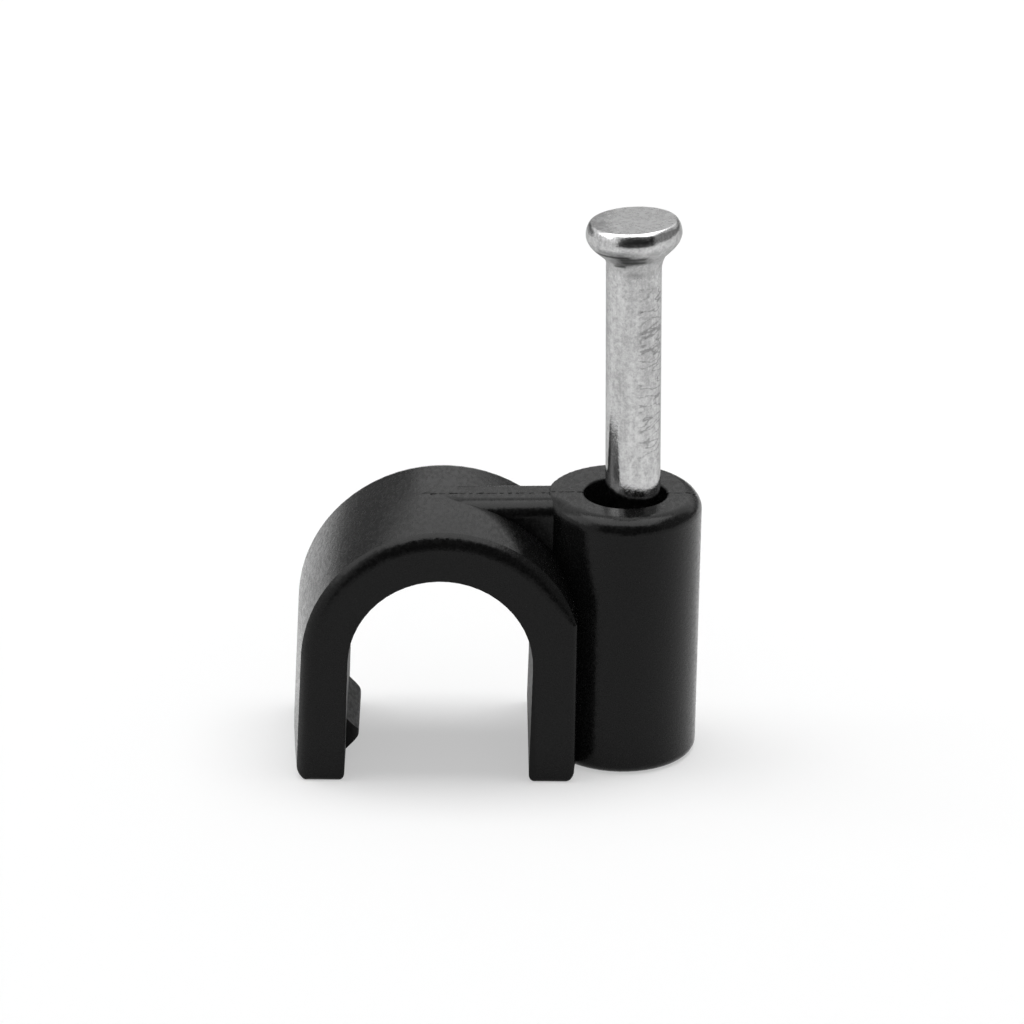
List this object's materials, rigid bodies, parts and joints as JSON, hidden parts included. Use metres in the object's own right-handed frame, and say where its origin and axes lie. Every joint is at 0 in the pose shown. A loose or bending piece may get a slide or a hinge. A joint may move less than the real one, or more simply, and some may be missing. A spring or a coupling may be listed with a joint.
{
  "type": "nail in cable clip",
  "caption": "Moulded horseshoe clip that straddles a round cable, webbed to a tall round boss that carries a steel masonry nail standing ready to be driven.",
  "frame": {"origin": "on the axis of the cable that the clip holds, in the middle of the clip's length; the wall is 4.06 mm below it", "axes": "+X from the cable towards the nail, +Y along the cable, +Z out of the wall"},
  "size_m": [0.0132, 0.0062, 0.0182],
  "materials": {
    "moulded_plastic": "satin black moulding",
    "plated_steel": "bright zinc plate"
  },
  "bodies": {
    "clip": {"clip_body": "moulded_plastic"},
    "driven_nail": {"nail": "plated_steel"}
  },
  "joints": [
    {"name": "nail_drive", "type": "slide", "parent": "clip", "child": "driven_nail", "axis": [0.018, 0, -0.9998], "range_m": [0, 0.00813]}
  ]
}
